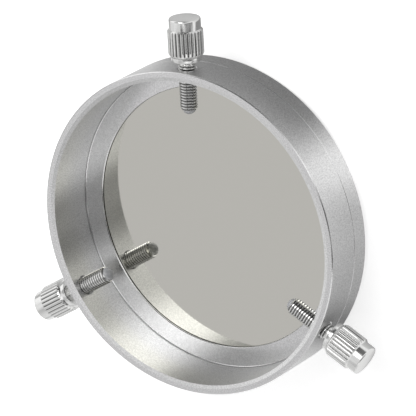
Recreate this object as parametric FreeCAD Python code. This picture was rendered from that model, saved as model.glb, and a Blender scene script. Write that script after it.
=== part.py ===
# Full-aperture solar filter that clamps over the front of a telescope tube.
# Millimetres. The ring axis is Z. The filter lies on its front (sky) face, so z = 0 is that face
# and +Z points to the open rim that goes over the tube. One thumbscrew points along +Y.
import os

import FreeCAD
import Part

# Ring seen from outside
ring_d = 115.0
rim_outer_chamfer = 0.3
front_bevel = 2.25
seam_chamfer = 0.12

# Clamp collar: the tube that takes the telescope, with its spigot screwed into the front cell
collar_wall_t = 3.25
seam_to_rim = 14.65
rim_inner_bevel_w = 1.3
rim_inner_bevel_h = 0.3
spigot_l = 5.05
spigot_inner_chamfer = 0.2
spigot_end_chamfer = 0.3
cell_wall_t = 1.4
cell_thread_clearance = 0.1
cell_thread_relief_w = 0.8
cell_thread_relief_depth = 0.45

# Front cell and what it holds, from the sky side inwards
stop_face_w = 7.15
front_lip_t = 1.0
front_lip_chamfer = 0.3
gasket_t = 0.25
gasket_inset = 0.5
glass_seat_w = 4.9
glass_t = 2.4
glass_edge_chamfer = 0.25
glass_pocket_clearance = 0.2
rear_gasket_t = 0.3
rear_gasket_inset = 0.05
clamp_gap = 0.1

# Pressure ring: its flange is gripped by the spigot, its step is centred in the collar bore
press_flange_t = 0.25
press_step_t = 0.2
press_step_clearance = 0.1
press_rim_clearance = 0.2
press_lip_h = 0.2
press_lip_w = 0.08
press_aperture_chamfer = 0.2

# Thumbscrews, M6 with a 1 mm pitch
screw_count = 3
first_screw_angle = 90.0
screw_to_rim = 5.9
thread_d = 6.0
thread_hole_clearance = 0.08
hole_outer_chamfer = 0.4
hole_inner_chamfer = 0.5
knob_to_wall = 2.9
thread_end_chamfer = 0.6
thread_l = 15.9
neck_depth = 0.55
neck_l = 1.3

# Knob, from the wall outwards: flange, knurled grip, crown
grip_d = 12.2
grip_l = 9.7
grip_inner_taper_l = 1.2
grip_outer_taper_l = 0.6
knurl_count = 27
knurl_depth = 0.42
knurl_groove_w = 0.62
knob_flange_step = 0.9
knob_flange_l = 1.5
knob_flange_bevel = 0.3
crown_step = 0.65
crown_l = 3.8
crown_round = 0.8

# Nylon tip that turns freely in the end of the screw and is as wide as its chamfered end
tip_dome_l = 1.7
tip_base_l = 0.1
tip_stem_wall = 1.65
tip_stem_l = 3.6
tip_stem_clearance = 0.05
tip_stem_end_gap = 0.4

# Levels and radii that follow from the sizes above
z_gasket = front_lip_t
z_glass = z_gasket + gasket_t
z_coat = z_glass + glass_t
z_press = z_coat + rear_gasket_t
z_spigot = z_press + press_flange_t
z_seam = z_spigot + spigot_l
z_rim = z_seam + seam_to_rim
z_screw = z_rim - screw_to_rim
r_ring = ring_d / 2
r_bore = r_ring - collar_wall_t
r_cell_bore = r_ring - cell_wall_t
r_cell_thread = r_cell_bore - cell_thread_clearance
r_aperture = r_bore - stop_face_w
r_glass = r_aperture + glass_seat_w
r_thread = thread_d / 2
r_tip = r_thread - thread_end_chamfer
r_tip_stem = r_thread - tip_stem_wall
r_grip = grip_d / 2
r_knob_flange = r_grip - knob_flange_step
r_crown = r_grip - crown_step
s_knob = r_ring + knob_to_wall
s_thread_end = s_knob - neck_l - thread_l
s_grip = s_knob + knob_flange_l
s_crown = s_grip + grip_l
s_top = s_crown + crown_l


def vec(x, y, z):
    return FreeCAD.Vector(x, y, z)


def ring_from(section):
    """Ring turned about Z from a closed list of (radius, z) corners."""
    corners = [vec(r, 0, z) for r, z in section]
    face = Part.Face(Part.makePolygon(corners + corners[:1]))
    return face.revolve(vec(0, 0, 0), vec(0, 0, 1), 360)


def turned_from(edges):
    """Solid turned about X from edges that run from the axis back to the axis."""
    wire = Part.Wire([edge.toShape() for edge in edges])
    start = wire.OrderedVertexes[0].Point
    end = wire.OrderedVertexes[-1].Point
    closed = Part.Wire([*wire.Edges, Part.LineSegment(end, start).toShape()])
    return Part.Face(closed).revolve(vec(0, 0, 0), vec(1, 0, 0), 360)


def line_run(points):
    """Straight edges through a list of (distance along X, radius) points."""
    corners = [vec(s, r, 0) for s, r in points]
    return [Part.LineSegment(a, b) for a, b in zip(corners, corners[1:])]


def at_each_screw(make):
    """One copy of a shape made along X for each thumbscrew, lifted to the screws' level."""
    shapes = []
    for number in range(screw_count):
        shape = make()
        shape.translate(vec(0, 0, z_screw))
        angle = first_screw_angle + number * 360.0 / screw_count
        shape.rotate(vec(0, 0, 0), vec(0, 0, 1), angle)
        shapes.append(shape)
    return shapes


def tapped_hole():
    """Hole for one thumbscrew, with a countersink on both sides of the collar wall."""
    hole_r = r_thread + thread_hole_clearance
    outer_r = hole_r + hole_outer_chamfer
    inner_r = hole_r + hole_inner_chamfer
    # the wall falls away beside the hole, so the outer countersink keeps its depth where the wall is lowest
    s_outer = (r_ring**2 - outer_r**2) ** 0.5
    s_inner = r_bore
    # each countersink's cone runs on past the wall
    reach = 2.0
    run = line_run(
        [
            (s_inner - reach, 0),
            (s_inner - reach, inner_r + reach),
            (s_inner + hole_inner_chamfer, hole_r),
            (s_outer - hole_outer_chamfer, hole_r),
            (s_outer + reach, outer_r + reach),
            (s_outer + reach, 0),
        ]
    )
    return turned_from(run)


def clamp_collar():
    """Tube with a threaded spigot, three tapped holes and an open rim that slopes in to the bore."""
    relief_r = r_cell_thread - cell_thread_relief_depth
    body = ring_from(
        [
            (r_bore + spigot_inner_chamfer, z_spigot),
            (r_cell_thread - spigot_end_chamfer, z_spigot),
            (r_cell_thread, z_spigot + spigot_end_chamfer),
            (r_cell_thread, z_seam - cell_thread_relief_w),
            (relief_r, z_seam - cell_thread_relief_w),
            (relief_r, z_seam),
            (r_ring - seam_chamfer, z_seam),
            (r_ring, z_seam + seam_chamfer),
            (r_ring, z_rim - rim_outer_chamfer),
            (r_ring - rim_outer_chamfer, z_rim),
            (r_bore + rim_inner_bevel_w, z_rim),
            (r_bore, z_rim - rim_inner_bevel_h),
            (r_bore, z_spigot + spigot_inner_chamfer),
        ]
    )
    return body.cut(at_each_screw(tapped_hole))


def front_cell():
    """Bevelled front ring with the lip, the glass pocket and the bore that the spigot screws into."""
    pocket_r = r_glass + glass_pocket_clearance
    z_step = z_press - clamp_gap
    return ring_from(
        [
            (r_aperture + front_lip_chamfer, 0),
            (r_ring - front_bevel, 0),
            (r_ring, front_bevel),
            (r_ring, z_seam - seam_chamfer),
            (r_ring - seam_chamfer, z_seam),
            (r_cell_bore, z_seam),
            (r_cell_bore, z_step),
            (pocket_r, z_step),
            (pocket_r, front_lip_t),
            (r_aperture, front_lip_t),
            (r_aperture, front_lip_chamfer),
        ]
    )


def glass_gasket():
    """Flat rubber ring between the lip and the glass."""
    inner_r = r_aperture + gasket_inset
    return ring_from(
        [
            (inner_r, z_gasket),
            (r_glass, z_gasket),
            (r_glass, z_glass),
            (inner_r, z_glass),
        ]
    )


def rear_gasket():
    """Thinner rubber ring between the coated face and the pressure ring, seen as a dark line."""
    inner_r = r_aperture + rear_gasket_inset
    return ring_from(
        [
            (inner_r, z_coat),
            (r_glass, z_coat),
            (r_glass, z_press),
            (inner_r, z_press),
        ]
    )


def filter_glass():
    """Plane glass disc with ground edges, coated on the side that faces the telescope."""
    return ring_from(
        [
            (0, z_glass),
            (r_glass - glass_edge_chamfer, z_glass),
            (r_glass, z_glass + glass_edge_chamfer),
            (r_glass, z_coat - glass_edge_chamfer),
            (r_glass - glass_edge_chamfer, z_coat),
            (0, z_coat),
        ]
    )


def pressure_ring():
    """Stepped flat ring that the spigot presses on the glass. The telescope tube can stop against it.

    A low bevelled lip runs round its step, next to the collar bore.
    """
    flange_r = r_cell_bore - press_rim_clearance
    step_r = r_bore - press_step_clearance
    lip_r = step_r - press_lip_w
    z_face = z_spigot + press_step_t
    return ring_from(
        [
            (r_aperture, z_press),
            (flange_r, z_press),
            (flange_r, z_spigot),
            (step_r, z_spigot),
            (step_r, z_face + press_lip_h),
            (lip_r, z_face + press_lip_h),
            (lip_r - press_lip_h, z_face),
            (r_aperture + press_aperture_chamfer, z_face),
            (r_aperture, z_face - press_aperture_chamfer),
        ]
    )


def knurl_groove():
    """V groove along the top of the grip, from before its inner taper to past its outer one."""
    over = 0.3
    slope = knurl_groove_w / 2 / knurl_depth
    half_w = slope * (knurl_depth + over)
    corners = [
        vec(s_grip, -half_w, r_grip + over),
        vec(s_grip, half_w, r_grip + over),
        vec(s_grip, 0, r_grip - knurl_depth),
    ]
    face = Part.Face(Part.makePolygon(corners + corners[:1]))
    return face.extrude(vec(grip_l, 0, 0))


def knurl_grooves():
    """The groove repeated evenly round the grip."""
    grooves = []
    for number in range(knurl_count):
        groove = knurl_groove()
        groove.rotate(vec(0, 0, 0), vec(1, 0, 0), number * 360.0 / knurl_count)
        grooves.append(groove)
    return grooves


def thumbscrew():
    """Screw and knob turned in one piece, with a blind hole in the end for the nylon tip."""
    neck_r = r_thread - neck_depth
    socket_r = r_tip_stem + tip_stem_clearance
    socket_l = tip_stem_l + tip_stem_end_gap
    run = line_run(
        [
            (s_thread_end + socket_l, 0),
            (s_thread_end + socket_l, socket_r),
            (s_thread_end, socket_r),
            (s_thread_end, r_tip),
            (s_thread_end + thread_end_chamfer, r_thread),
            (s_thread_end + thread_l, r_thread),
            (s_thread_end + thread_l, neck_r),
            (s_knob, neck_r),
            (s_knob, r_knob_flange - knob_flange_bevel),
            (s_knob + knob_flange_bevel, r_knob_flange),
            (s_grip, r_knob_flange),
            (s_grip + grip_inner_taper_l, r_grip),
            (s_crown - grip_outer_taper_l, r_grip),
            (s_crown, r_crown),
            (s_top - crown_round, r_crown),
        ]
    )
    turn = crown_round * (1 - 0.5**0.5)
    edge_round = Part.Arc(
        vec(s_top - crown_round, r_crown, 0),
        vec(s_top - turn, r_crown - turn, 0),
        vec(s_top, r_crown - crown_round, 0),
    )
    cap = line_run([(s_top, r_crown - crown_round), (s_top, 0)])
    return turned_from([*run, edge_round, *cap]).cut(knurl_grooves())


def screw_tip():
    """Nylon tip: a dome that bears on the tube and a stem in the end of the screw."""
    s_base = s_thread_end - tip_base_l
    s_end = s_base - tip_dome_l
    dome_r = (r_tip**2 + tip_dome_l**2) / (2 * tip_dome_l)
    s_half = s_end + tip_dome_l / 3
    r_half = (dome_r**2 - (dome_r - tip_dome_l / 3) ** 2) ** 0.5
    dome = Part.Arc(vec(s_end, 0, 0), vec(s_half, r_half, 0), vec(s_base, r_tip, 0))
    run = line_run(
        [
            (s_base, r_tip),
            (s_thread_end, r_tip),
            (s_thread_end, r_tip_stem),
            (s_thread_end + tip_stem_l, r_tip_stem),
            (s_thread_end + tip_stem_l, 0),
        ]
    )
    return turned_from([dome, *run])


def save(name, shape):
    solid = shape.Solids[0]
    print(f"{name}: {len(shape.Solids)} solid, valid {shape.isValid()}, {solid.Volume:.1f} mm3")
    solid.exportStep(os.path.join("parts", name + ".step"))


def main():
    os.makedirs("parts", exist_ok=True)
    save("clamp_collar", clamp_collar())
    save("front_cell", front_cell())
    save("glass_gasket", glass_gasket())
    save("rear_gasket", rear_gasket())
    save("filter_glass", filter_glass())
    save("pressure_ring", pressure_ring())
    for number, shape in enumerate(at_each_screw(thumbscrew), 1):
        save(f"thumbscrew_{number}", shape)
    for number, shape in enumerate(at_each_screw(screw_tip), 1):
        save(f"screw_tip_{number}", shape)


main()
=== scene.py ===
import math

import bmesh
import bpy
from mathutils import Matrix, Vector


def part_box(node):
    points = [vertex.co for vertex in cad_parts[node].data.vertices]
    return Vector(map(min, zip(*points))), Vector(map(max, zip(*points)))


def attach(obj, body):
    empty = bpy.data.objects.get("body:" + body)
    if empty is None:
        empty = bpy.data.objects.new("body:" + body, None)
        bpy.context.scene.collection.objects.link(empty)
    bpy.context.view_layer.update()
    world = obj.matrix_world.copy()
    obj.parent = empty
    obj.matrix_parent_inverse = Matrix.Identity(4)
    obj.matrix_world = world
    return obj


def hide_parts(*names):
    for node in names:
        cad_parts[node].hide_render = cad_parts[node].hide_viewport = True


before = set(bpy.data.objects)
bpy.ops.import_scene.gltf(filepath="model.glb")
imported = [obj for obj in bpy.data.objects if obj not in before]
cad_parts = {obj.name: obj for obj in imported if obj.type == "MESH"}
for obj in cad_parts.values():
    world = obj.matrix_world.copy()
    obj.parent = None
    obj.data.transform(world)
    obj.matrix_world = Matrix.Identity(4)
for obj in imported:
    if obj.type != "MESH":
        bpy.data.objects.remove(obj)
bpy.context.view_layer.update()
print("frame loaded:", len(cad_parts), "nodes")

mm = 0.001


def linearColour(hexText):
    channels = [int(hexText[i:i + 2], 16) / 255 for i in (1, 3, 5)]
    return [c / 12.92 if c <= 0.04045 else ((c + 0.055) / 1.055) ** 2.4 for c in channels] + [1.0]


def addNode(tree, kind, settings=None, links=None):
    # settings are the node's own options, links go to its inputs as plain values or other nodes' sockets
    node = tree.nodes.new(kind)
    for name, value in (settings or {}).items():
        setattr(node, name, value)
    for name, value in (links or {}).items():
        if isinstance(value, bpy.types.NodeSocket):
            tree.links.new(value, node.inputs[name])
        else:
            node.inputs[name].default_value = value
    return node


def newMaterial(name):
    material = bpy.data.materials.new(name)
    material.use_nodes = True
    material.node_tree.nodes.clear()
    return material, material.node_tree


def waves(pitch):
    # wave texture scale that gives one line every pitch millimetres
    return 2 * math.pi / (20 * pitch * mm)


def grains(size):
    # noise texture scale that gives grains of about that many millimetres
    return 1 / (size * mm)


# Materials

blastedAluminium = {
    "bright": "#E9E9E9",
    "dull": "#CBCBCB",
    "cutBright": "#F7F7F7",
    "cutDull": "#E4E4E4",
    "roughness": 0.34,
    "roughnessSpread": 0.05,
    "cloud": 9.0,  # the roughness drifts over about this many millimetres
    "grain": 0.42,  # glass bead marks are about 0.1 mm; drawn coarser so that they show
    "grainRange": (0.38, 0.62),  # levels of the noise at which the metal is fully dull and fully bright
    "grainDepth": 0.022,
    "cutSlope": (0.45, 0.65),  # upright share of the normal between which the cut surfaces take over
    "cutGrain": 0.15,  # share of the grain that shows on the faced and chamfered surfaces
    "turnedPitch": 0.30,  # facing cuts are about 0.08 mm apart; drawn coarser so that they show
    "turnedDepth": 0.004,
    "cutRoughness": 0.15,
}


def makeBlastedAluminium():
    # Aluminium, turned, glass-bead blasted and clear anodised: a satin grey with a fine sparkling grain.
    # The faces and chamfers, cut last, are brighter, with a weaker grain and the rings of the facing cut.
    spec = blastedAluminium
    material, tree = newMaterial("aluminiumBlastedClearAnodised")
    coords = addNode(tree, "ShaderNodeTexCoord").outputs
    normal = addNode(tree, "ShaderNodeSeparateXYZ", links={"Vector": coords["Normal"]})
    upright = addNode(tree, "ShaderNodeMath", {"operation": "ABSOLUTE"}, {0: normal.outputs["Z"]})
    cut = addNode(tree, "ShaderNodeMapRange", {"interpolation_type": "SMOOTHSTEP"}, {
        "Value": upright.outputs[0], "From Min": spec["cutSlope"][0],
        "From Max": spec["cutSlope"][1]}).outputs["Result"]
    grain = addNode(tree, "ShaderNodeTexNoise", links={
        "Vector": coords["Object"], "Scale": grains(spec["grain"]), "Detail": 2.0,
        "Roughness": 0.6}).outputs[0]
    cloud = addNode(tree, "ShaderNodeTexNoise", links={
        "Vector": coords["Object"], "Scale": grains(spec["cloud"]), "Detail": 2.0}).outputs[0]
    cuts = addNode(tree, "ShaderNodeTexWave", {"wave_type": "RINGS", "rings_direction": "Z"}, {
        "Vector": coords["Object"], "Scale": waves(spec["turnedPitch"]), "Distortion": 0.6,
        "Detail": 1.0, "Detail Scale": 0.5}).outputs[0]
    rough = addNode(tree, "ShaderNodeMix", {"data_type": "FLOAT"}, {
        "Factor": cut, "A": spec["roughness"], "B": spec["cutRoughness"]}).outputs[0]
    spread = addNode(tree, "ShaderNodeMath", {"operation": "MULTIPLY_ADD"}, {
        0: cloud, 1: spec["roughnessSpread"], 2: rough}).outputs[0]
    share = addNode(tree, "ShaderNodeMapRange", links={
        "Value": cut, "To Min": 1.0, "To Max": spec["cutGrain"]}).outputs["Result"]
    sparkle = addNode(tree, "ShaderNodeMapRange", links={
        "Value": grain, "From Min": spec["grainRange"][0],
        "From Max": spec["grainRange"][1]}).outputs["Result"]
    # inputs 6 and 7 and output 2 of a colour mix are its colours
    blastedColour = addNode(tree, "ShaderNodeMix", {"data_type": "RGBA"}, {
        0: sparkle, 6: linearColour(spec["dull"]), 7: linearColour(spec["bright"])}).outputs[2]
    cutColour = addNode(tree, "ShaderNodeMix", {"data_type": "RGBA"}, {
        0: sparkle, 6: linearColour(spec["cutDull"]), 7: linearColour(spec["cutBright"])}).outputs[2]
    colour = addNode(tree, "ShaderNodeMix", {"data_type": "RGBA"}, {
        0: cut, 6: blastedColour, 7: cutColour}).outputs[2]
    grainHeight = addNode(tree, "ShaderNodeMath", {"operation": "MULTIPLY"}, {0: grain, 1: share}).outputs[0]
    blasted = addNode(tree, "ShaderNodeBump", links={
        "Height": grainHeight, "Strength": 1.0, "Distance": spec["grainDepth"] * mm}).outputs[0]
    cutHeight = addNode(tree, "ShaderNodeMath", {"operation": "MULTIPLY"}, {0: cuts, 1: cut}).outputs[0]
    turned = addNode(tree, "ShaderNodeBump", links={
        "Height": cutHeight, "Strength": 1.0, "Distance": spec["turnedDepth"] * mm,
        "Normal": blasted}).outputs[0]
    shader = addNode(tree, "ShaderNodeBsdfPrincipled", links={
        "Base Color": colour, "Metallic": 1.0, "Roughness": spread, "Normal": turned})
    addNode(tree, "ShaderNodeOutputMaterial", links={"Surface": shader.outputs[0]})
    return material


turnedSteel = {
    "colour": "#F4F4F3",
    # painted shade: colour at the deepest points of the thread roots and knurl grooves
    "paintedGrooveShadeColour": "#8E8E8D",
    "roughness": 0.13,
    "roughnessSpread": 0.06,
    "cloud": 1.5,
    "turnedPitch": 0.35,  # feed marks are about 0.1 mm apart; drawn coarser so that they show
    "turnedDepth": 0.002,
}


def makeTurnedSteel():
    # Stainless steel, turned and left bright: sharp streaks of light and dark with fine feed marks round the
    # axis, and painted shade: the thread's roots and the knurl's grooves are coloured darker by their depth
    spec = turnedSteel
    material, tree = newMaterial("stainlessSteelTurned")
    coords = addNode(tree, "ShaderNodeTexCoord").outputs
    marks = addNode(tree, "ShaderNodeTexWave", {"wave_type": "BANDS", "bands_direction": "X"}, {
        "Vector": coords["Object"], "Scale": waves(spec["turnedPitch"]), "Distortion": 0.8,
        "Detail": 2.0, "Detail Scale": 1.0}).outputs[0]
    cloud = addNode(tree, "ShaderNodeTexNoise", links={
        "Vector": coords["Object"], "Scale": grains(spec["cloud"]), "Detail": 3.0}).outputs[0]
    spread = addNode(tree, "ShaderNodeMath", {"operation": "MULTIPLY_ADD"}, {
        0: cloud, 1: spec["roughnessSpread"], 2: spec["roughness"]}).outputs[0]
    # share of the groove's depth, which darkens the colour as painted shade
    paintedGrooveShade = addNode(tree, "ShaderNodeAttribute", {"attribute_name": "paintedGrooveShade"}).outputs["Fac"]
    colour = addNode(tree, "ShaderNodeMix", {"data_type": "RGBA"}, {
        0: paintedGrooveShade, 6: linearColour(spec["colour"]), 7: linearColour(spec["paintedGrooveShadeColour"])}).outputs[2]
    turned = addNode(tree, "ShaderNodeBump", links={
        "Height": marks, "Strength": 1.0, "Distance": spec["turnedDepth"] * mm}).outputs[0]
    shader = addNode(tree, "ShaderNodeBsdfPrincipled", links={
        "Base Color": colour, "Metallic": 1.0, "Roughness": spread, "Normal": turned})
    addNode(tree, "ShaderNodeOutputMaterial", links={"Surface": shader.outputs[0]})
    return material


coatedGlass = {
    "colour": "#EBEAE1",
    "roughness": 0.03,
    "roughnessSpread": 0.03,
    "mottle": 18.0,  # the polish drifts over about this many millimetres
}


def makeCoatedGlass():
    # Polished plate glass with a vacuum-deposited nickel-chromium coat: a mirror with a faint straw tint
    spec = coatedGlass
    material, tree = newMaterial("plateGlassMetalCoated")
    coords = addNode(tree, "ShaderNodeTexCoord").outputs
    mottle = addNode(tree, "ShaderNodeTexNoise", links={
        "Vector": coords["Object"], "Scale": grains(spec["mottle"]), "Detail": 2.0}).outputs[0]
    spread = addNode(tree, "ShaderNodeMath", {"operation": "MULTIPLY_ADD"}, {
        0: mottle, 1: spec["roughnessSpread"], 2: spec["roughness"]}).outputs[0]
    shader = addNode(tree, "ShaderNodeBsdfPrincipled", links={
        "Base Color": linearColour(spec["colour"]), "Metallic": 1.0, "Roughness": spread})
    addNode(tree, "ShaderNodeOutputMaterial", links={"Surface": shader.outputs[0]})
    return material


nylon = {
    "colour": "#D2D3D6",
    "roughness": 0.25,
    "clearness": 0.5,
    "grain": 0.35,  # mould texture, drawn coarser than the real 0.05 mm
    "grainDepth": 0.006,
}


def makeNylon():
    # Natural nylon, moulded: pale and half clear, so the metal behind it shows through as a blur
    spec = nylon
    material, tree = newMaterial("nylonMoulded")
    coords = addNode(tree, "ShaderNodeTexCoord").outputs
    grain = addNode(tree, "ShaderNodeTexNoise", links={
        "Vector": coords["Object"], "Scale": grains(spec["grain"]), "Detail": 1.0}).outputs[0]
    moulded = addNode(tree, "ShaderNodeBump", links={
        "Height": grain, "Strength": 1.0, "Distance": spec["grainDepth"] * mm}).outputs[0]
    shader = addNode(tree, "ShaderNodeBsdfPrincipled", links={
        "Base Color": linearColour(spec["colour"]), "Roughness": spec["roughness"], "IOR": 1.53,
        "Transmission Weight": spec["clearness"], "Normal": moulded})
    addNode(tree, "ShaderNodeOutputMaterial", links={"Surface": shader.outputs[0]})
    return material


rubber = {
    "colour": "#1C1C1D",
    "roughness": 0.75,
    "grain": 0.30,
    "grainDepth": 0.01,
}


def makeRubber():
    # Nitrile rubber sheet, die cut: dull black with a dusty grain; on the gaskets its thin black line between
    # ring and glass is partly real rubber and partly painted shade of the narrow gap there
    spec = rubber
    material, tree = newMaterial("nitrileRubberSheet")
    coords = addNode(tree, "ShaderNodeTexCoord").outputs
    grain = addNode(tree, "ShaderNodeTexNoise", links={
        "Vector": coords["Object"], "Scale": grains(spec["grain"]), "Detail": 2.0}).outputs[0]
    sheet = addNode(tree, "ShaderNodeBump", links={
        "Height": grain, "Strength": 1.0, "Distance": spec["grainDepth"] * mm}).outputs[0]
    shader = addNode(tree, "ShaderNodeBsdfPrincipled", links={
        "Base Color": linearColour(spec["colour"]), "Roughness": spec["roughness"], "IOR": 1.52,
        "Normal": sheet})
    addNode(tree, "ShaderNodeOutputMaterial", links={"Surface": shader.outputs[0]})
    return material


aluminiumMaterial = makeBlastedAluminium()
steelMaterial = makeTurnedSteel()
rubberMaterial = makeRubber()
nodeMaterials = {
    "clamp_collar": aluminiumMaterial,
    "front_cell": aluminiumMaterial,
    "pressure_ring": aluminiumMaterial,
    "filter_glass": makeCoatedGlass(),
    # the gaskets show as a thin black line between ring and glass: partly rubber, partly painted shade of the
    # gap
    "glass_gasket": rubberMaterial,
    "rear_gasket": rubberMaterial,
}
nylonMaterial = makeNylon()
for number in (1, 2, 3):
    nodeMaterials[f"screw_tip_{number}"] = nylonMaterial
for name, material in nodeMaterials.items():
    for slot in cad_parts[name].material_slots:
        slot.material = material
print("materials on", len(nodeMaterials), "nodes")


# Thumbscrews: distances along each screw are from the ring's axis, in millimetres

thumbscrew = {
    "angles": (90, 210, 330),
    "threadLength": 15.9,
    "pitch": 1.0,
    "majorRadius": 3.0,
    "threadDepth": 0.5,
    # shares of the pitch: rolled crests are blunt, and the flanks between stand about 60 degrees apart
    "threadCrest": 0.28,
    "threadRoot": 0.16,
    "endChamfer": 0.6,
    "socketRadius": 1.4,
    "socketDepth": 4.0,
    "neckRadius": 2.45,
    "neckLength": 1.3,
    "flangeRadius": 5.2,
    "flangeLength": 1.5,
    "flangeBevel": 0.3,
    "gripLength": 9.7,
    "innerTaper": 1.2,
    "taperBulge": 0.10,  # the inner taper is slightly full
    "outerTaper": 0.6,
    "ridges": 27,
    "grooveDepth": 0.42,
    "grooveWidth": 0.62,
    "ridgeRound": 0.07,
    "crownRadius": 5.45,
    "crownLength": 3.8,
    "crownRound": 0.8,
    "crownFlat": 2.0,  # radius at which the flat end's outer faces stop
    "softEdge": 0.05,
    "threadColumns": 108,
    "sharpAngle": 32,  # degrees between two faces from which their edge shows sharp
}
# the first screw points along +Y, so its node's box gives where it starts, how high it sits
# and how wide its grip is
screwLow, screwHigh = (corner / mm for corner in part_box("thumbscrew_1"))
threadStart = screwLow.y
threadEnd = threadStart + thumbscrew["threadLength"]
knobStart = threadEnd + thumbscrew["neckLength"]
gripRadius = (screwHigh.x - screwLow.x) / 2
screwLevel = screwLow.z + gripRadius


def threadProfile(place):
    # 0 on the crest, 1 in the root, straight flanks between them; place is a share of the pitch
    crest = thumbscrew["threadCrest"]
    flank = (1 - crest - thumbscrew["threadRoot"]) / 2
    if place < crest:
        return 0.0
    if place < crest + flank:
        return (place - crest) / flank
    if place < 1 - flank:
        return 1.0
    return (1 - place) / flank


def threadRows():
    # each row follows the helix by one turn, and its points stop at the screw's end or at the neck
    spec = thumbscrew
    flankEnds = (spec["threadCrest"], (1 + spec["threadCrest"] - spec["threadRoot"]) / 2,
                 (1 + spec["threadCrest"] + spec["threadRoot"]) / 2, 1.0)
    steps = [0.0, spec["threadCrest"] / 2]
    for start, end in zip(flankEnds, flankEnds[1:]):
        steps += [start + (end - start) * share for share in (0, 1 / 3, 2 / 3)]
    first = math.floor(threadStart / spec["pitch"]) - 2
    last = math.ceil(threadEnd / spec["pitch"]) + 1
    rows = []
    for whole in range(first, last):
        for step in steps:
            row = []
            for column in range(spec["threadColumns"]):
                turn = column / spec["threadColumns"]
                s = min(max((whole + step + turn) * spec["pitch"], threadStart), threadEnd)
                depth = threadProfile((s / spec["pitch"] - turn) % 1.0)
                chamfer = spec["majorRadius"] - spec["endChamfer"] + s - threadStart
                row.append((s, min(spec["majorRadius"] - spec["threadDepth"] * depth, chamfer), turn, depth))
            rows.append(row)
    return rows, len(steps)


def ridgeDepth(turn):
    # ridge with a softly rounded top between two V grooves
    spec = thumbscrew
    halfPitch = math.pi * gripRadius / spec["ridges"]
    across = abs((turn * spec["ridges"] + 0.5) % 1.0 - 0.5) * 2 * halfPitch
    halfGroove = spec["grooveWidth"] / 2
    if across < halfGroove:
        return spec["ridgeRound"] + (spec["grooveDepth"] - spec["ridgeRound"]) * (1 - across / halfGroove)
    return spec["ridgeRound"] * ((halfPitch - across) / (halfPitch - halfGroove)) ** 2


def knobColumns():
    # turns at which the grip is cut into columns, closer together at the grooves
    spec = thumbscrew
    grooveShare = spec["grooveWidth"] / (2 * math.pi * gripRadius / spec["ridges"])
    half = grooveShare / 2
    offsets = (0, half * 0.5, half * 0.92, half * 1.06, half * 1.3, (half + 0.5) / 2, 0.5)
    offsets = offsets + tuple(1 - x for x in reversed(offsets[1:-1]))
    return [(ridge + x) / spec["ridges"] for ridge in range(spec["ridges"]) for x in offsets]


def knobProfile():
    # distance, radius and whether the knurl cuts it, from the neck to the crown
    spec = thumbscrew
    neck, flange, crownR = spec["neckRadius"], spec["flangeRadius"], spec["crownRadius"]
    bevel, rounding, softEdge = spec["flangeBevel"], spec["crownRound"], spec["softEdge"]
    grip = knobStart + spec["flangeLength"]
    crown = grip + spec["gripLength"]
    top = crown + spec["crownLength"]
    rows = [(threadEnd, neck - softEdge, False), (threadEnd + softEdge, neck, False),
            (knobStart - softEdge, neck, False), (knobStart, neck + softEdge, False),
            (knobStart, flange - bevel, False), (knobStart + bevel * 0.3, flange - bevel * 0.3, False),
            (knobStart + bevel, flange, False), (grip - softEdge, flange, False)]
    for step in (0, 0.15, 0.35, 0.53, 0.7, 0.85, 1.0):
        bulge = spec["taperBulge"] * math.sin(math.pi * step)
        rows.append((grip + spec["innerTaper"] * step, flange + (gripRadius - flange) * step + bulge, True))
    for share in (0.3, 0.7):
        rows.append((grip + spec["gripLength"] * share, gripRadius, True))
    for step in (0, 0.3, 0.55, 0.7, 0.85, 1.0):
        radius = gripRadius - (gripRadius - crownR) * step
        rows.append((crown - spec["outerTaper"] * (1 - step), radius, True))
    rows.append((crown + softEdge, crownR, False))
    for step in range(9):
        angle = step / 8 * math.pi / 2
        radius = crownR - rounding + rounding * math.cos(angle)
        rows.append((top - rounding + rounding * math.sin(angle), radius, False))
    rows.append((top, spec["crownFlat"], False))
    return rows


def knobRows():
    columns = knobColumns()
    rows = []
    for s, radius, knurled in knobProfile():
        row = []
        for turn in columns:
            groove = ridgeDepth(turn) if knurled else 0.0
            cut = max(groove - (gripRadius - radius), 0.0)
            row.append((s, radius - cut, turn, cut / thumbscrew["grooveDepth"]))
        rows.append(row)
    return rows


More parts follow.
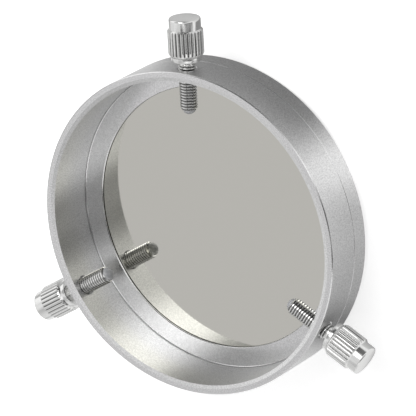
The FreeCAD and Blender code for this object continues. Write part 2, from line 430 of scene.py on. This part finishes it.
def buildThumbscrewMesh():
    spec = thumbscrew
    bm = bmesh.new()
    # how deep each point lies in a thread root or knurl groove; the steel's colour is darkened by it as
    # painted shade
    paintedGrooveShade = bm.verts.layers.float.new("paintedGrooveShade")

    def addRing(row):
        ring = []
        for s, radius, turn, depth in row:
            angle = 2 * math.pi * turn
            vert = bm.verts.new((s * mm, radius * math.sin(angle) * mm, radius * math.cos(angle) * mm))
            vert[paintedGrooveShade] = depth
            ring.append(vert)
        return ring

    def plainRow(s, radius):
        return [(s, radius, column / spec["threadColumns"], 0.0) for column in range(spec["threadColumns"])]

    def bridge(rings):
        for a, b in zip(rings, rings[1:]):
            for i in range(len(a) - 1):
                # a corner met twice counts once
                bm.faces.new(dict.fromkeys((a[i], a[i + 1], b[i + 1], b[i])))

    socket = [addRing(plainRow(threadStart + spec["socketDepth"], spec["socketRadius"])),
              addRing(plainRow(threadStart, spec["socketRadius"]))]
    rows, rowsPerTurn = threadRows()
    thread = [addRing(row) for row in rows]
    # after a full turn a row of the thread goes on in the row one pitch further along
    onward = [thread[min(k + rowsPerTurn, len(thread) - 1)][0] for k in range(len(thread))]
    knob = [addRing(row) for row in knobRows()]
    bm.faces.new(socket[0])
    bm.faces.new(list(reversed(knob[-1])))
    bridge([ring + ring[:1] for ring in socket + thread[:1]])
    bridge([ring + [after] for ring, after in zip(thread, onward)])
    bridge([ring + ring[:1] for ring in knob])
    # the thread's last ring joins the finer ring of the neck
    coarse, fine = thread[-1], knob[0]
    ratio = len(fine) // len(coarse)
    for i in range(len(coarse)):
        part = [fine[(i * ratio + k) % len(fine)] for k in range(ratio + 1)]
        bm.faces.new((coarse[i], coarse[(i + 1) % len(coarse)], part[-1], part[-2]))
        for k in range(ratio - 1):
            bm.faces.new((coarse[i], part[k + 1], part[k]))
    bmesh.ops.remove_doubles(bm, verts=bm.verts, dist=2e-6)
    bmesh.ops.dissolve_degenerate(bm, edges=bm.edges, dist=1e-6)
    bmesh.ops.recalc_face_normals(bm, faces=bm.faces)
    mesh = bpy.data.meshes.new("thumbscrewMesh")
    bm.to_mesh(mesh)
    bm.free()
    mesh.shade_smooth()
    mesh.set_sharp_from_angle(angle=math.radians(spec["sharpAngle"]))
    mesh.materials.append(steelMaterial)
    return mesh


screwMesh = buildThumbscrewMesh()
for number, angle in enumerate(thumbscrew["angles"], 1):
    screw = bpy.data.objects.new(f"thumbscrewKnurled{number}", screwMesh)
    bpy.context.scene.collection.objects.link(screw)
    lift = Matrix.Translation((0, 0, screwLevel * mm))
    screw.matrix_world = lift @ Matrix.Rotation(math.radians(angle), 4, "Z")
    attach(screw, f"knob_{number}")
    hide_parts(f"thumbscrew_{number}")
print("thumbscrews:", len(screwMesh.polygons), "faces each")


# Studio

studio = {
    "paper": 0.80,  # how much light the paper floor throws back
    # to the camera the paper is white: it glows, and the rest is the lamps' light, which takes the shadow
    "floorGlow": 0.48,
    "floorShade": 0.95,
    "floorSize": 6.0,
    "floorDrop": 0.1,  # mm below the front face, so that the two planes don't lie in each other
    "key": {"azimuth": 92, "elevation": 55, "distance": 1.25, "size": 0.6, "power": 1.9},
    "fill": {"azimuth": 125, "elevation": 42, "distance": 1.25, "size": 0.5, "power": 5.0},
    "roof": 0.70,
    "roofEdge": (62, 76),  # elevations between which the panels give way to the roof, degrees
    "panelSplit": (34, 44),  # and between which the low panels give way to the high ones
    # brightness of the tent's panels by azimuth in degrees
    "highPanels": [
        (-180, 0.80), (-165, 0.84), (-148, 0.76), (-136, 0.50), (-112, 0.48), (-92, 0.58), (-64, 0.74),
        (-50, 1.25), (-28, 1.30), (-19, 0.40), (-8, 0.02), (6, 0.20), (16, 1.0), (28, 1.1), (40, 0.80),
        (52, 0.66), (66, 0.70), (80, 0.85), (100, 0.85), (112, 0.72), (122, 0.48), (132, 0.28),
        (146, 0.26), (160, 0.38), (174, 0.58)],
    "lowPanels": [
        (-180, 0.80), (-150, 0.66), (-130, 0.62), (-116, 0.62), (-97, 0.80), (-75, 0.62), (-51, 0.85),
        (-36, 0.85), (-22, 0.65), (-5, 0.15), (6, 0.05), (16, 0.30), (28, 1.10), (44, 0.85), (57, 0.42),
        (70, 0.12), (85, 0.08), (100, 0.18), (112, 0.35), (122, 0.70), (135, 1.0), (157, 1.05),
        (170, 0.92)],
    # small grey screen at the place that the flat faces mirror to the camera; radii in degrees
    "hood": {"azimuth": 211.8, "elevation": 52.5, "inner": 3.5, "outer": 5.5, "colour": "#C5C4C6"},
    # dark grey strip of cloth across the tent, made of overlapping discs, which gives the bright knobs
    # a dark streak; ends by azimuth and elevation
    "flag": {"from": (-72, 72), "to": (-20, 19), "discs": 9, "inner": 4.0, "outer": 7, "colour": "#484848"},
    # brightness of the cards that lie round the ring, by azimuth in degrees, and of those further out:
    # only reflections show them
    "cards": [
        (-180, 0.60), (-150, 0.95), (-110, 0.55), (-80, 0.80), (-58, 0.80), (-50, 0.62), (-43, 0.22),
        (-34, 0.22), (-24, 0.44), (-2, 0.58), (10, 0.62), (17, 0.80), (23, 1.06), (31, 1.08),
        (36, 0.85), (42, 0.52), (48, 0.30), (56, 0.25), (74, 0.26), (90, 0.30), (105, 0.36),
        (118, 0.80), (135, 0.95), (160, 0.45)],
    "farCards": [
        (-180, 0.40), (-165, 0.90), (-128, 0.90), (-114, 0.45), (-90, 0.85), (-38, 0.80), (30, 0.90),
        (98, 0.56), (150, 0.40)],
    "cardEdge": (76, 82),  # distances from the axis between which the far cards take over, mm
}


def towards(azimuth, elevation):
    a, e = math.radians(azimuth), math.radians(elevation)
    return Vector((math.cos(a) * math.cos(e), math.sin(a) * math.cos(e), math.sin(e)))


def levelsByAzimuth(tree, vector, levels):
    # grey that runs round the vertical axis from level to level
    around = addNode(tree, "ShaderNodeTexGradient", {"gradient_type": "RADIAL"}, {"Vector": vector})
    ramp = addNode(tree, "ShaderNodeValToRGB", links={"Fac": around.outputs[1]})
    stops = ramp.color_ramp.elements
    stops.remove(stops[1])
    for azimuth, level in levels + [(180, levels[0][1])]:
        stop = stops[0] if azimuth == -180 else stops.new(azimuth / 360 + 0.5)
        stop.color = [level] * 3 + [1.0]
    return ramp.outputs["Color"]


def makePaper():
    # White paper: the camera sees it white with a soft faint shadow, metal sees the cards on it
    material, tree = newMaterial("paperSweep")
    path = addNode(tree, "ShaderNodeLightPath").outputs
    coords = addNode(tree, "ShaderNodeTexCoord").outputs
    seen = addNode(tree, "ShaderNodeMath", {"operation": "MAXIMUM"}, {
        0: path["Is Camera Ray"], 1: path["Is Transmission Ray"]}).outputs[0]
    plain = addNode(tree, "ShaderNodeBsdfDiffuse", links={
        "Color": [studio["paper"]] * 3 + [1.0]}).outputs[0]
    shade = addNode(tree, "ShaderNodeBsdfDiffuse", links={
        "Color": [studio["floorShade"]] * 3 + [1.0]}).outputs[0]
    glow = addNode(tree, "ShaderNodeEmission", links={"Strength": studio["floorGlow"]}).outputs[0]
    white = addNode(tree, "ShaderNodeAddShader", links={0: shade, 1: glow}).outputs[0]
    reach = addNode(tree, "ShaderNodeVectorMath", {"operation": "LENGTH"}, {0: coords["Object"]})
    far = addNode(tree, "ShaderNodeMapRange", links={
        "Value": reach.outputs["Value"], "From Min": studio["cardEdge"][0] * mm,
        "From Max": studio["cardEdge"][1] * mm})
    cards = addNode(tree, "ShaderNodeMix", {"data_type": "RGBA"}, {
        0: far.outputs["Result"], 6: levelsByAzimuth(tree, coords["Object"], studio["cards"]),
        7: levelsByAzimuth(tree, coords["Object"], studio["farCards"])}).outputs[2]
    reflected = addNode(tree, "ShaderNodeEmission", links={"Color": cards}).outputs[0]
    first = addNode(tree, "ShaderNodeMixShader", links={0: seen, 1: plain, 2: white}).outputs[0]
    second = addNode(tree, "ShaderNodeMixShader", links={
        0: path["Is Glossy Ray"], 1: first, 2: reflected}).outputs[0]
    addNode(tree, "ShaderNodeOutputMaterial", links={"Surface": second})
    material.cycles.emission_sampling = "NONE"
    return material


def buildFloor():
    half = studio["floorSize"] / 2
    mesh = bpy.data.meshes.new("floorMesh")
    corners = [(-half, -half, 0), (half, -half, 0), (half, half, 0), (-half, half, 0)]
    mesh.from_pydata(corners, [], [(0, 1, 2, 3)])
    mesh.materials.append(makePaper())
    floor = bpy.data.objects.new("floor", mesh)
    bpy.context.scene.collection.objects.link(floor)
    floor.location.z = -studio["floorDrop"] * mm


def buildWorld():
    world = bpy.data.worlds.new("lightTent")
    bpy.context.scene.world = world
    world.use_nodes = True
    tree = world.node_tree
    tree.nodes.clear()
    direction = addNode(tree, "ShaderNodeTexCoord").outputs["Generated"]
    height = addNode(tree, "ShaderNodeSeparateXYZ", links={"Vector": direction}).outputs["Z"]

    def above(fromElevation, toElevation):
        return addNode(tree, "ShaderNodeMapRange", {"interpolation_type": "SMOOTHSTEP"}, {
            "Value": height, "From Min": math.sin(math.radians(fromElevation)),
            "From Max": math.sin(math.radians(toElevation))}).outputs["Result"]

    def blend(share, below, over):
        return addNode(tree, "ShaderNodeMix", {"data_type": "RGBA"}, {0: share, 6: below, 7: over}).outputs[2]

    def screened(behind, place, screen):
        near = addNode(tree, "ShaderNodeVectorMath", {"operation": "DOT_PRODUCT"}, {0: direction, 1: place})
        share = addNode(tree, "ShaderNodeMapRange", {"interpolation_type": "SMOOTHSTEP"}, {
            "Value": near.outputs["Value"], "From Min": math.cos(math.radians(screen["outer"])),
            "From Max": math.cos(math.radians(screen["inner"]))}).outputs["Result"]
        return blend(share, behind, linearColour(screen["colour"]))

    tent = blend(above(*studio["panelSplit"]), levelsByAzimuth(tree, direction, studio["lowPanels"]),
                 levelsByAzimuth(tree, direction, studio["highPanels"]))
    tent = blend(above(*studio["roofEdge"]), tent, [studio["roof"]] * 3 + [1.0])
    hood, flag = studio["hood"], studio["flag"]
    tent = screened(tent, towards(hood["azimuth"], hood["elevation"]), hood)
    for step in range(flag["discs"]):
        place = towards(*flag["from"]).slerp(towards(*flag["to"]), step / (flag["discs"] - 1))
        tent = screened(tent, place, flag)
    reflected = addNode(tree, "ShaderNodeBackground", links={"Color": tent}).outputs[0]
    white = addNode(tree, "ShaderNodeBackground", links={"Color": linearColour("#FFFFFF")}).outputs[0]
    path = addNode(tree, "ShaderNodeLightPath").outputs
    seen = addNode(tree, "ShaderNodeMath", {"operation": "MAXIMUM"}, {
        0: path["Is Camera Ray"], 1: path["Is Transmission Ray"]}).outputs[0]
    mixed = addNode(tree, "ShaderNodeMixShader", links={0: seen, 1: reflected, 2: white}).outputs[0]
    addNode(tree, "ShaderNodeOutputWorld", links={"Surface": mixed})


def buildLamp(name, spec):
    lamp = bpy.data.lights.new(name, "AREA")
    lamp.shape = "SQUARE"
    lamp.size = spec["size"]
    lamp.energy = spec["power"]
    holder = bpy.data.objects.new(name, lamp)
    bpy.context.scene.collection.objects.link(holder)
    direction = towards(spec["azimuth"], spec["elevation"])
    holder.location = direction * spec["distance"]
    holder.rotation_mode = "QUATERNION"
    holder.rotation_quaternion = direction.to_track_quat("Z", "Y")
    return holder


buildFloor()
buildWorld()
buildLamp("keySoftbox", studio["key"])
fill = buildLamp("fillSoftbox", studio["fill"])
fill.visible_glossy = False  # no metal mirrors it: it lights the paper, the nylon and the rubber
print("studio ready")


# Camera at the photograph's angle: long lens, rolled so that the ring leans as it does there

# directions are in the part's frame, the sizes in millimetres
view = {
    "towardsCamera": (0.5176, 0.3209, 0.7932),
    "imageRight": (0.8457, -0.0505, -0.5313),
    "imageUp": (-0.1306, 0.9459, -0.2974),
    "distance": 1458.0,
    "aimHeight": 2.267,
    "offset": (-4.35, 2.606),
    "lens": 367.2,
    "sensor": 36.0,
    "clipEnd": 20000.0,
}


def buildCamera():
    data = bpy.data.cameras.new("photoCamera")
    data.lens = view["lens"]
    data.sensor_width = view["sensor"]
    data.clip_end = view["clipEnd"] * mm
    camera = bpy.data.objects.new("photoCamera", data)
    bpy.context.scene.collection.objects.link(camera)
    back, right, up = Vector(view["towardsCamera"]), Vector(view["imageRight"]), Vector(view["imageUp"])
    place = Vector((0, 0, view["aimHeight"])) + back * view["distance"]
    place += right * view["offset"][0] + up * view["offset"][1]
    turn = Matrix((right, up, back)).transposed()
    camera.matrix_world = Matrix.Translation(place * mm) @ turn.to_4x4()
    bpy.context.scene.camera = camera


buildCamera()
bpy.context.scene.view_settings.view_transform = "Standard"
print("camera ready")
